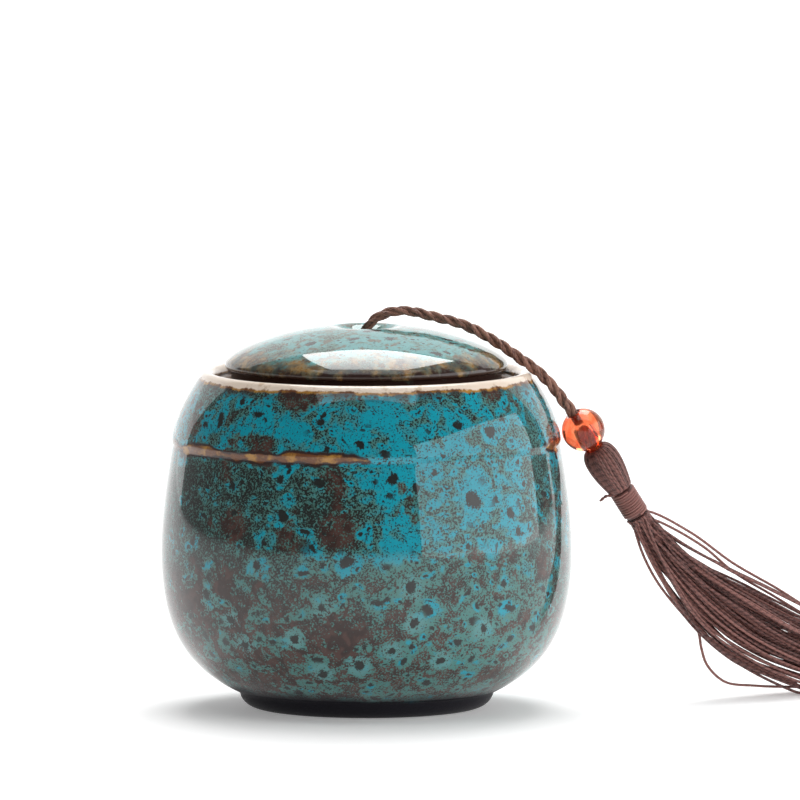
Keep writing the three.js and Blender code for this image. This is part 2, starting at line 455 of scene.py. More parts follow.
def line_object(name: str, *lines: Sequence[Sequence[float]]) -> bpy.types.Object:
    """An object that holds open lines for a tree to grow from.

    Args:
        name: The object's name.
        lines: For each line its points, in metres.

    Returns:
        The object, whose mesh has edges and no faces.
    """
    points: list[Sequence[float]] = []
    edges: list[tuple[int, int]] = []
    for line in lines:
        first = len(points)
        points.extend(line)
        edges.extend((number, number + 1) for number in range(first, len(points) - 1))
    mesh = bpy.data.meshes.new(name)
    mesh.from_pydata([tuple(point) for point in points], edges, [])
    return stand(name + "_line", mesh)


def bend(start: Flat, end: Flat, pull_start: Flat, pull_end: Flat, steps: int) -> list[Flat]:
    """A smooth stretch of an outline.

    Args:
        start: Where it starts, as radius and height.
        end: Where it ends.
        pull_start: The point that it sets off towards, as shares of the way to the end.
        pull_end: The point that it comes in from, as shares of the way to the end.
        steps: How many steps it has.

    Returns:
        The points, with both ends.
    """

    def towards(pull: Flat) -> Vector:
        """A point at a share of the way, in radius and in height."""
        across = start[0] + (end[0] - start[0]) * pull[0]
        return Vector((across, start[1] + (end[1] - start[1]) * pull[1]))

    handles = (Vector(start), towards(pull_start), towards(pull_end), Vector(end))
    return [tuple(bezier(handles, step / steps)) for step in range(steps + 1)]


def bezier(handles: Sequence[Vector], share: float) -> Vector:
    """The point of a cubic Bezier curve at a share of its parameter."""
    rest = 1 - share
    weights = (rest**3, 3 * rest**2 * share, 3 * rest * share**2, share**3)
    return sum((handle * weight for handle, weight in zip(handles, weights)), handles[0] * 0)


def arc(centre: Flat, radius: float, start: float, end: float, steps: int) -> list[Flat]:
    """A stretch of a circle, from one angle in degrees to another."""
    angles = [math.radians(start + (end - start) * step / steps) for step in range(steps + 1)]
    return [
        (centre[0] + radius * math.cos(angle), centre[1] + radius * math.sin(angle))
        for angle in angles
    ]


def inset(outline: Sequence[Flat], distance: float) -> list[Flat]:
    """An outline that runs upwards, moved inwards by a wall's thickness."""
    moved = []
    for number, point in enumerate(outline):
        before = Vector(outline[max(number - 1, 0)])
        after = Vector(outline[min(number + 1, len(outline) - 1)])
        along = (after - before).normalized()
        moved.append((point[0] - along.y * distance, point[1] + along.x * distance))
    return moved


def smooth_line(places: Sequence[Sequence[float]], spacing: float) -> list[Vector]:
    """A smooth line through places, by centripetal Catmull-Rom pieces.

    Args:
        places: The places that it passes through.
        spacing: The greatest distance between its points.

    Returns:
        Its points.
    """
    knots = [Vector(place) for place in places]
    before = knots[0] * 2 - knots[1]
    after = knots[-1] * 2 - knots[-2]
    knots = [before, *knots, after]
    line = [knots[1]]
    for number in range(1, len(knots) - 2):
        four = knots[number - 1 : number + 3]
        times = [0.0]
        for one, two in zip(four, four[1:]):
            times.append(times[-1] + math.sqrt((two - one).length))
        steps = max(1, math.ceil((four[2] - four[1]).length / spacing))
        for step in range(1, steps + 1):
            line.append(catmull_point(four, times, step / steps))
    return line


def catmull_point(four: Sequence[Vector], times: Sequence[float], share: float) -> Vector:
    """A point between the middle two of four knots."""
    time = times[1] + (times[2] - times[1]) * share

    def between(first: Vector, second: Vector, start: float, end: float) -> Vector:
        """The point at this time on the straight line between two."""
        return first * ((end - time) / (end - start)) + second * ((time - start) / (end - start))

    one = between(four[0], four[1], times[0], times[1])
    two = between(four[1], four[2], times[1], times[2])
    three = between(four[2], four[3], times[2], times[3])
    low = between(one, two, times[0], times[2])
    high = between(two, three, times[1], times[3])
    return between(low, high, times[1], times[2])


def turn_piece(
    name: str,
    outline: Sequence[Flat],
    material: bpy.types.Material,
    sides: int,
    wobble: float = 0.0,
) -> bpy.types.Object:
    """Turn an outline round the Z axis, as on a potter's wheel.

    Args:
        name: The piece's name.
        outline: Radius and height in millimetres, with the solid on the left of its way.
        material: The piece's material.
        sides: How many sides the turn has.
        wobble: How far the hand-made wall strays from a true circle, in millimetres.

    Returns:
        The piece.
    """
    tree = GrowingTree(name + "_turned")
    side_count = tree.size("Sides", sides)
    point_count = tree.size("Outline Points", len(outline))
    stray = tree.size("Wobble", wobble * MM)
    patch = tree.size("Wobble Patch", 14 * MM)
    skin_inputs = {"Vertices X": side_count + 1, "Vertices Y": point_count}
    skin = tree.add("GeometryNodeMeshGrid", inputs=skin_inputs)
    number = tree.add("GeometryNodeInputIndex")
    column = tree.math("FLOOR", (number + 0.5) / point_count)
    row = number - column * point_count
    angle = column * TURN / side_count
    outline_place = tree.add("GeometryNodeInputPosition")
    sample_settings = {"data_type": "FLOAT_VECTOR", "domain": "POINT"}
    sample_inputs = {0: tree.source(), "Value": outline_place, "Index": row}
    sampled = tree.add("GeometryNodeSampleIndex", sample_settings, sample_inputs)
    radius, _, height = tree.parts(sampled)
    outward = tree.vector(tree.math("COSINE", angle), tree.math("SINE", angle), 0.0)
    place = outward * radius + tree.vector(0.0, 0.0, height)
    lumps = tree.noise(place / patch, 1.0, detail=1.0) - 0.5
    off_axis = tree.step(radius, 2 * MM, 12 * MM)
    place = place + outward * (lumps * off_axis * stray)
    told = tree.remember(skin, "profile", row / point_count)
    moved = tree.add("GeometryNodeSetPosition", inputs={"Geometry": told, "Position": place})
    merge_inputs = {"Geometry": moved, "Distance": 0.001 * MM}
    closed = tree.add("GeometryNodeMergeByDistance", inputs=merge_inputs)
    seed = line_object(name, [(radius * MM, 0.0, height * MM) for radius, height in outline])
    return tree.grow(closed, name, seed, material)


@dataclass(frozen=True)
class Lay:
    """How a cord is laid up from strands, and each strand from yarns, in millimetres."""

    strands: int
    yarns: int
    strand_offset: float
    yarn_offset: float
    yarn_radius: float
    strand_lay: float
    yarn_lay: float
    swell: float = 1.0
    unevenness: float = 0.0
    sides: int = 6

    def make(
        self, name: str, material: bpy.types.Material, *lines: Sequence[Sequence[float]]
    ) -> bpy.types.Object:
        """Lay the cord along lines.

        Args:
            name: The piece's name.
            material: The piece's material.
            lines: For each line its points, in metres.

        Returns:
            The piece. It remembers how far along each yarn a point is, and each yarn's own shade.
        """
        tree = GrowingTree(name + "_laid")
        strands = tree.size("Strands", self.strands)
        yarns = tree.size("Yarns", self.yarns)
        strand_offset = tree.size("Strand Offset", self.strand_offset * MM)
        yarn_offset = tree.size("Yarn Offset", self.yarn_offset * MM)
        yarn_radius = tree.size("Yarn Radius", self.yarn_radius * MM)
        strand_turns = tree.size("Strand Turns", 1 / (self.strand_lay * MM))
        yarn_turns = tree.size("Yarn Turns", 1 / (self.yarn_lay * MM))
        swell = tree.size("Swell at End", self.swell)
        unevenness = tree.size("Unevenness", self.unevenness)
        copies, number = tree.copies(strands * yarns)
        strand = tree.math("FLOOR", (number + 0.5) / yarns)
        yarn = number - strand * yarns
        share = tree.add("GeometryNodeSplineParameter")
        along = share.beside(1)
        lumps = tree.noise(tree.vector(along * 260.0, 0.0, 0.0), 1.0) - 0.5
        size = tree.mix(share, 1.0, swell) * (1 + lumps * unevenness)
        strand_angle = (strand / strands + along * strand_turns) * TURN
        yarn_angle = (yarn / yarns + along * yarn_turns) * TURN + strand_angle
        across = tree.add("GeometryNodeInputNormal")
        beside = tree.direction("CROSS_PRODUCT", tree.add("GeometryNodeInputTangent"), across)

        def round_line(angle: Value) -> Value:
            """The way out from the line at an angle round it."""
            return across * tree.math("COSINE", angle) + beside * tree.math("SINE", angle)

        offset = round_line(strand_angle) * (strand_offset * size)
        offset = offset + round_line(yarn_angle) * (yarn_offset * size)
        told = tree.tell(copies, along, number, seed=3)
        moved = tree.add("GeometryNodeSetPosition", inputs={"Geometry": told, "Offset": offset})
        laid = tree.tube(moved, yarn_radius, self.sides, size)
        return tree.grow(laid, name, line_object(name, *lines), material)


# Finishes


@dataclass(frozen=True)
class SpotField:
    """Spots scattered through a glaze: where their pattern starts, how dense, how many miss."""

    shift: float
    per_mm: float
    missing: float


@dataclass(frozen=True)
class ReactiveGlaze:
    """A copper-blue glaze that broke in the kiln into lace, spots, rings and brown pools.

    inner_band is the stretch of the turned outline, as shares of its points, that is inside.
    marks are the kind, the radius and the place of each large mark, in millimetres. A grain is
    how many grains of a pattern there are to the millimetre. An edge is where a soft step starts
    and ends. The cover is how thickly the copper lies, round 0.5, and gains and losses add to it.
    On the jar's unlit left side the loss is painted shade, not thinner copper.
    """

    name: str
    zone: GlazeZone
    inner_band: Flat
    marks: tuple[tuple[KilnMark, float, tuple[float, float, float]], ...] = ()
    turquoise: Colour = paint(4, 150, 170)
    teal_grey: Colour = paint(70, 126, 121)
    deep_green: Colour = paint(66, 102, 94)
    pale_ring: Colour = paint(92, 148, 148)
    iron: Colour = paint(29, 33, 32)
    brown_pool: Colour = paint(50, 31, 27)
    maroon: Colour = paint(76, 50, 44)
    ochre: Colour = paint(172, 124, 52)
    rust: Colour = paint(108, 64, 34)
    cream: Colour = paint(238, 220, 202)
    foot: Colour = paint(22, 20, 28)
    inside: Colour = paint(112, 84, 60)
    usual_cover: float = 0.46
    fullest_cover: float = 0.8
    stir_grain: float = 0.17
    stir_reach: float = 5.0
    lace_grain: float = 2.9
    cloud_grain: float = 0.15
    cloud_gain: float = 0.56
    tuft_grain: float = 0.5
    tuft_gain: float = 0.5
    pool_grain: float = 0.12
    pool_edge: Flat = (0.57, 0.68)
    pool_loss: float = 0.36
    low_edge: Flat = (34.0, 14.0)
    low_sway: float = 30.0
    low_range: Flat = (0.0, 1.0)
    low_loss: float = 0.27
    # Painted shade on the jar's unlit left side: where it starts, and how much cover it takes off.
    left_shade_edge: Flat = (4.0, -14.0)
    left_shade_loss: Flat = (0.18, 0.1)
    flank_edge: Flat = (26.0, 32.0)
    flank_loss: float = 0.17
    below_ridge_edge: Flat = (50.0, 44.0)
    spot_fields: tuple[SpotField, ...] = (
        SpotField(shift=0.0, per_mm=0.17, missing=0.1),
        SpotField(shift=43.0, per_mm=0.27, missing=0.4),
        SpotField(shift=71.0, per_mm=0.5, missing=0.2),
    )
    ring_edge: Flat = (0.6, 0.38)
    ring_gain: Flat = (0.22, 0.34)
    core_edge: Flat = (0.25, 0.17)
    mark_edge: Flat = (1.15, 0.55)
    mark_core_edge: Flat = (0.4, 0.3)
    mark_gain: Flat = (0.18, 0.3)
    lace_gain: float = 1.7
    cover_gain: float = 0.42
    lace_edge: Flat = (-0.1, 0.03)
    blue_edge: Flat = (0.4, 0.72)
    green_edge: Flat = (0.1, 0.5)
    ridge_height: float = 49.35
    ridge_fades: Flat = (-5.0, 6.0)
    ridge_returns: Flat = (30.0, 34.0)
    ridge_thickest: float = 1.15
    thin_rim: Flat = (59.0, 60.8)
    rim_line: Flat = (60.7, 61.15)
    bare_lip: Flat = (61.2, 61.5)
    dark_foot_edge: Flat = (5.8, 3.4)
    lid_brown: Flat = (67.8, 65.2)
    lid_edge: Flat = (64.4, 63.0)
    lid_bare: Flat = (62.4, 62.9)
    relief: float = 0.04

    def material(self) -> bpy.types.Material:
        """Build the glaze's material."""
        glaze = Surface(self.name)
        place = glaze.place()
        across, _, height = glaze.parts(place)
        stir = glaze.noise(place, self.stir_grain, detail=2.0).beside("Color") - 0.5
        flow = place + stir * self.stir_reach
        grain = glaze.noise(place, self.lace_grain, detail=3.0, roughness=0.6)
        cloud = glaze.noise(flow, self.cloud_grain, detail=2.0)
        tuft = glaze.noise(flow + 19.0, self.tuft_grain, detail=2.0)
        pools = glaze.step(glaze.noise(flow + 57.0, self.pool_grain, detail=3.0), *self.pool_edge)
        least, most = self.low_range
        low = glaze.step(height + (cloud - 0.5) * self.low_sway, *self.low_edge)
        low = low * (most - least) + least
        cover = self.usual_cover + (cloud - 0.5) * self.cloud_gain
        if self.zone is GlazeZone.JAR:
            # On the jar, cover is taken off its unlit left side as painted shade, and off its
            # flanks.
            cover = cover - self.thinned(glaze, across, height, low)
        marked = self.marked(glaze, place, grain)
        pools = glaze.math("MAXIMUM", pools, marked[KilnMark.POOL])
        cover = cover + (tuft - 0.5) * self.tuft_gain - pools * self.pool_loss
        cover = cover - low * self.low_loss
        cover, core = self.spotted(glaze, cover, flow, grain, low)
        core = glaze.math("MAXIMUM", core * (1 - marked[KilnMark.COPPER]), marked[KilnMark.SPOT])
        cover = cover + marked[KilnMark.COPPER] * (self.mark_gain[0] + low * self.mark_gain[1])
        held = glaze.math("MINIMUM", cover, self.fullest_cover)
        woven = (grain - 0.5) * self.lace_gain + (held - 0.5) * self.cover_gain
        lace = glaze.step(woven, *self.lace_edge)
        blue = glaze.step(cover - low * 0.7, *self.blue_edge)
        green = glaze.step(cover + low * 0.5, *self.green_edge)
        copper = glaze.blend(green, self.deep_green, self.teal_grey)
        copper = glaze.blend(blue, copper, self.turquoise)
        copper = glaze.blend(marked[KilnMark.COPPER] * low * 0.75, copper, self.pale_ring)
        iron_brown = glaze.blend(glaze.step(tuft, 0.4, 0.6), self.brown_pool, self.maroon)
        ground = glaze.blend(glaze.math("MAXIMUM", pools, low), self.iron, iron_brown)
        field = glaze.blend(lace, ground, copper)
        field = glaze.blend(core, field, self.iron)
        bands = self.jar_bands if self.zone is GlazeZone.JAR else self.lid_bands
        colour, gloss = bands(glaze, field, place, grain)
        glaze.feed(Base_Color=colour, Coat_Weight=gloss)
        glaze.feed(Roughness=glaze.mix(gloss, 0.75, 0.5))
        glaze.feed(Coat_Roughness=0.03, Coat_IOR=1.5, Specular_IOR_Level=0.1)
        glaze.emboss(lace * 0.7 - core * 0.5, self.relief * MM)
        return glaze.material

    def thinned(self, glaze: Surface, across: Value, height: Value, low: Value) -> Value:
        """How much cover is taken off below the ridge: on the jar's left as painted shade, darkening
        its unlit side, and on its flanks.
        """
        # Painted shade: the jar's unlit left side, below the ridge, gets less copper so it reads
        # darker, more so in the brown zone.
        left = glaze.step(across, *self.left_shade_edge) * (self.left_shade_loss[0] + low * self.left_shade_loss[1])
        flanks = glaze.step(glaze.math("ABSOLUTE", across), *self.flank_edge) * self.flank_loss
        return (left + flanks) * glaze.step(height, *self.below_ridge_edge)

    def marked(self, glaze: Surface, place: Value, grain: Value) -> dict[KilnMark, Value]:
        """Find the large marks.

        Args:
            glaze: The material.
            place: The place on the piece, in millimetres.
            grain: Fine noise that frays the marks' edges.

        Returns:
            For each kind how strong it is here, from 0 to 1. COPPER takes in the spots' rings.
        """
        strength: dict[KilnMark, Operand] = {kind: 0.0 for kind in KilnMark}
        fray = (grain - 0.5) * 0.5
        skew = (glaze.noise(place, 0.3, detail=1.0).beside("Color") - 0.5) * 2.4
        for kind, radius, middle in self.marks:
            settings = {"operation": "DISTANCE"}
            inputs = {0: place + skew, 1: middle}
            distance = glaze.add("ShaderNodeVectorMath", settings, inputs, output=1)
            reach = distance / radius + fray
            round_it = glaze.step(reach, *self.mark_edge)
            if kind is KilnMark.SPOT:
                core = glaze.step(reach, *self.mark_core_edge)
                strength[kind] = glaze.math("MAXIMUM", strength[kind], core)
                kind = KilnMark.COPPER
            strength[kind] = glaze.math("MAXIMUM", strength[kind], round_it)
        return {kind: glaze.math("MAXIMUM", found, 0.0) for kind, found in strength.items()}

    def spotted(
        self, glaze: Surface, cover: Value, flow: Value, grain: Value, low: Value
    ) -> tuple[Value, Value]:
        """Work the spots into the cover: a bare core, and thick copper round it.

        Args:
            glaze: The material.
            cover: How thickly the copper lies.
            flow: The stirred place, in millimetres.
            grain: Fine noise that frays the spots' edges.
            low: How far down in the brown zone the place is, from 0 to 1.

        Returns:
            The cover with the spots' rings, and the spots' dark cores from 0 to 1.
        """
        cores = []
        for spots in self.spot_fields:
            found = glaze.cells(flow * (1.0, 1.0, 1.25) + spots.shift, spots.per_mm)
            chance, size, _ = glaze.parts(found.beside("Color"))
            reach = found / (0.6 + size * 0.5) + (grain - 0.5) * 0.35
            present = glaze.step(chance, spots.missing, spots.missing + 0.05)
            ring = glaze.step(reach, *self.ring_edge) * present
            cover = cover + ring * (self.ring_gain[0] + low * self.ring_gain[1])
            cores.append(glaze.step(reach, *self.core_edge) * present)
        core = glaze.math("MAXIMUM", glaze.math("MAXIMUM", cores[0], cores[1]), cores[2])
        return cover, core

    def within(self, glaze: Surface) -> Value:
        """Whether the place is on the inside, from 0 to 1."""
        share = glaze.attribute("profile", "Fac")
        first, last = self.inner_band
        return glaze.step(share, first, first + 0.002) * glaze.step(share, last + 0.002, last)

    def jar_bands(
        self, glaze: Surface, field: Value, place: Value, grain: Value
    ) -> tuple[Value, Value]:
        """The jar's foot, ridge, lip and inside.

        Args:
            glaze: The material.
            field: The glaze's own colour.
            place: The place on the jar, in millimetres.
            grain: Fine noise that breaks edges up.

        Returns:
            The colour, and the gloss from 0 to 1.
        """
        across, _, height = glaze.parts(place)
        sway = (glaze.noise(place, 0.12, detail=2.0) - 0.5) * 3.0 + (grain - 0.5) * 0.8
        blotch = glaze.noise(place, 0.33, detail=3.0, roughness=0.6)
        off_ridge = glaze.math("ABSOLUTE", height - self.ridge_height + sway * 0.45)
        shown = 0.8 - glaze.step(across, *self.ridge_fades) * 1.45
        shown = shown + glaze.step(across, *self.ridge_returns) * 1.4
        thickness = shown + (glaze.noise(place + 5.0, 0.15, detail=2.0) - 0.5) * 4.6
        thickness = glaze.math("MINIMUM", thickness, self.ridge_thickest)
        burnt = glaze.step(thickness + 0.6 - off_ridge + (grain - 0.5), 0.0, 0.5)
        field = glaze.blend(burnt * glaze.step(thickness, 0.0, 0.2), field, self.brown_pool)
        gold = glaze.blend(glaze.step(blotch, 0.44, 0.66), self.rust, self.ochre)
        field = glaze.blend(glaze.step(thickness - off_ridge, 0.0, 0.35), field, gold)
        edge = height + sway * 0.35 + (blotch - 0.5) * 1.6
        thinned = glaze.step(edge, *self.thin_rim) * glaze.step(blotch, 0.62, 0.42)
        field = glaze.blend(thinned * 0.8, field, self.brown_pool)
        line = glaze.blend(glaze.step(blotch, 0.42, 0.58), self.rust, self.ochre)
        field = glaze.blend(glaze.step(edge, *self.rim_line), field, line)
        lip = glaze.blend(glaze.step(blotch, 0.46, 0.3) * 0.5, self.cream, self.ochre)
        field = glaze.blend(glaze.step(edge, *self.bare_lip), field, lip)
        field = glaze.blend(self.within(glaze), field, glaze.blend(blotch, self.inside, self.rust))
        # The foot is painted near-black, with little gloss, below a wavy line about 3.4 to 5.8 mm
        # up.
        foot = glaze.step(height + sway * 0.9, *self.dark_foot_edge)
        return glaze.blend(foot, field, self.foot), 1 - foot * 0.8

    def lid_bands(
        self, glaze: Surface, field: Value, place: Value, grain: Value
    ) -> tuple[Value, Value]:
        """The lid's flecks, brown skirt, dark edge and plain underside.

        Args:
            glaze: The material.
            field: The glaze's own colour.
            place: The place on the lid, in millimetres.
            grain: Fine noise that breaks edges up.

        Returns:
            The colour, and the gloss from 0 to 1.
        """
        height = glaze.parts(place)[2]
        streaks = glaze.noise(place * (1.0, 1.0, 0.5), 0.3, detail=3.0, roughness=0.6)
        edge = height + (streaks - 0.5) * 8.0 + (grain - 0.5) * 1.2
        blotch = glaze.noise(place, 0.42, detail=2.0)
        flecks = glaze.noise(place * (0.5, 0.5, 1.6), 0.9, detail=3.0)
        field = glaze.blend(glaze.step(flecks, 0.57, 0.64) * 0.75, field, self.rust)
        skirt = glaze.blend(glaze.step(blotch, 0.38, 0.5), self.brown_pool, self.rust)
        skirt = glaze.blend(glaze.step(blotch, 0.5, 0.64) * 0.7, skirt, self.ochre)
        field = glaze.blend(glaze.step(edge, *self.lid_brown) * 0.75, field, skirt)
        field = glaze.blend(glaze.step(edge, *self.lid_edge), field, self.brown_pool)
        field = glaze.blend(self.within(glaze), field, self.inside)
        return field, glaze.step(height, *self.lid_bare) * 0.7 + 0.3


@dataclass(frozen=True)
class TwistedThread:
    """Silky twisted thread, darker in its ply grooves and lighter on their crests as painted shade
    and highlight. It follows what its mesh remembers, so it has no seam.
    """

    name: str
    # dark is partly painted shade in the ply grooves, and light partly a painted highlight on the
    # crests.
    dark: Colour = paint(68, 38, 36)
    light: Colour = paint(142, 94, 86)
    ply_lay: float = 1.3 * MM

    def material(self) -> bpy.types.Material:
        """Build the thread's material."""
        thread = Surface(self.name)
        along = thread.attribute("along", "Fac")
        round_x, round_y, _ = thread.parts(thread.attribute("around", "Vector"))
        shade = thread.attribute("shade", "Fac")
        angle = along * (TURN / self.ply_lay) + shade * (5 * TURN)
        twist = round_x * thread.math("SINE", angle) + round_y * thread.math("COSINE", angle)
        ply_relief_and_shade = thread.step(twist, -1.0, 0.2)
        fuzz = thread.noise(thread.place(), 3.5, detail=3.0)
        # Painted shade and highlight: the ply grooves are darkened and the crests lightened in the
        # base colour, over tone that differs by thread and by fuzz.
        tone = thread.step(shade * 0.5 + fuzz * 0.6 + ply_relief_and_shade * 0.25, 0.25, 1.0)
        thread.feed(Base_Color=thread.blend(tone, self.dark, self.light))
        thread.feed(Roughness=thread.mix(fuzz, 0.42, 0.62))
        thread.feed(Sheen_Weight=0.15, Sheen_Roughness=0.4, Specular_IOR_Level=0.45)
        thread.emboss(ply_relief_and_shade * 0.8 + fuzz * 0.4, 0.08 * MM)
        return thread.material


@dataclass(frozen=True)
class OrangeGlass:
    """Clear orange-red glass with faint darker threads in it."""

    name: str
    clear: Colour = paint(255, 142, 96)
    deep: Colour = paint(244, 92, 52)

    def material(self) -> bpy.types.Material:
        """Build the glass's material."""
        glass = Surface(self.name)
        swirl = glass.noise(glass.place() * (1.0, 1.0, 0.4), 0.9, detail=2.0)
        glass.feed(Base_Color=glass.blend(glass.step(swirl, 0.35, 0.7), self.clear, self.deep))
        glass.feed(Roughness=glass.mix(swirl, 0.02, 0.05))
        glass.feed(Transmission_Weight=0.92, IOR=1.5)
        return glass.material


@dataclass(frozen=True)
class PaleFloor:
    """A plain pale table top, faintly lit from within, as a light table is."""

    name: str
    tone: float = 0.9
    paler_tone: float = 0.93
    glow: float = 0.25

    def material(self) -> bpy.types.Material:
        """Build the floor's material."""
        floor = Surface(self.name)
        grain = floor.noise(floor.place(), 0.02, detail=2.0)
        tones = [(tone, tone, tone, 1.0) for tone in (self.tone, self.paler_tone)]
        floor.feed(Base_Color=floor.blend(grain, *tones))
        floor.feed(Roughness=0.8, Specular_IOR_Level=0.1)
        floor.feed(Emission_Color=WHITE, Emission_Strength=self.glow)
        return floor.material


# The studio


@dataclass(frozen=True)
class Softbox:
    """A flat soft light that faces the urn. Angles are in degrees, the rest in metres."""

    name: str
    azimuth: float
    elevation: float
    distance: float
    width: float
    height: float
    radiance: float

    def hang(self, target: Vector) -> None:
        """Hang the light round a target. An azimuth of 0 is over the camera, 90 to its right."""
        turn = math.radians(self.azimuth)
        rise = math.radians(self.elevation)
        flat = math.cos(rise)
        way = Vector((math.sin(turn) * flat, -math.cos(turn) * flat, math.sin(rise)))
        light = bpy.data.lights.new(self.name, "AREA")
        light.shape = "RECTANGLE"
        light.size = self.width
        light.size_y = self.height
        light.energy = self.radiance * math.pi * self.width * self.height
        lamp = bpy.data.objects.new(self.name, light)
        lamp.location = target + way * self.distance
        lamp.rotation_euler = way.to_track_quat("Z", "Y").to_euler()
        lamp.visible_camera = False
        bpy.context.scene.collection.objects.link(lamp)


@dataclass
class Studio:
    """The camera, the floor and the lights."""

    aim: Vector
    camera_distance: float = 4.0
    camera_elevation: float = 5.6
    focal_length: float = 973.8
    sky: float = 0.08
    horizon: float = 0.12
    sky_seen: float = 0.95
    floor_reach: float = 6.0

    def set_camera(self) -> None:
        """Put the camera at the photograph's viewing angle."""
        rise = math.radians(self.camera_elevation)
        lens = bpy.data.cameras.new("camera")
        lens.lens = self.focal_length
        lens.sensor_width = 36.0
        lens.clip_start = 0.05
        lens.clip_end = 40.0
        camera = bpy.data.objects.new("camera", lens)
        way = Vector((0.0, -math.cos(rise), math.sin(rise)))
        camera.location = self.aim + way * self.camera_distance
        camera.rotation_euler = (math.radians(90) - rise, 0.0, 0.0)
        bpy.context.scene.collection.objects.link(camera)
        bpy.context.scene.camera = camera
        bpy.context.scene.view_settings.view_transform = "Standard"

    def lay_floor(self) -> None:
        """Lay a round pale floor under everything."""
        sides = 96
        rim = [TURN * side / sides for side in range(sides)]
        places = [
            (self.floor_reach * math.cos(angle), self.floor_reach * math.sin(angle), 0.0)
            for angle in rim
        ]
        mesh = bpy.data.meshes.new("floor")
        mesh.from_pydata(places, [], [tuple(range(sides))])
        mesh.materials.append(PaleFloor("pale_floor").material())
        stand("floor", mesh)

    def light(self) -> None:
        """Hang the soft lights, with a plain pale sky round them."""
        softboxes = (
            Softbox("overhead", 175.0, 64.0, 3.0, 1.65, 2.1, 6.8),
            Softbox("front_top", 0.0, 78.0, 1.4, 1.3, 0.9, 1.5),
            Softbox("right", 72.0, 6.0, 0.9, 1.6, 0.85, 2.0),
            Softbox("behind_low", 180.0, 5.0, 2.6, 5.6, 1.0, 1.3),
            Softbox("behind_high", 180.0, 30.0, 2.6, 5.6, 1.3, 1.0),
        )
        for softbox in softboxes:
            softbox.hang(Vector((0.0, 0.0, 0.04)))
        world = bpy.data.worlds.new("pale_sky")
        world.use_nodes = True
        sky = Graph(world.node_tree)
        seen = sky.add("ShaderNodeLightPath")
        rise = sky.parts(sky.add("ShaderNodeTexCoord", output="Generated"))[2]
        glow = self.sky + sky.step(rise, 0.3, 0.0) * self.horizon
        background = world.node_tree.nodes["Background"]
        sky.link(WHITE, background.inputs["Color"])
        sky.link(sky.mix(seen, glow, self.sky_seen), background.inputs["Strength"])
        bpy.context.scene.world = world


# The urn's own pieces


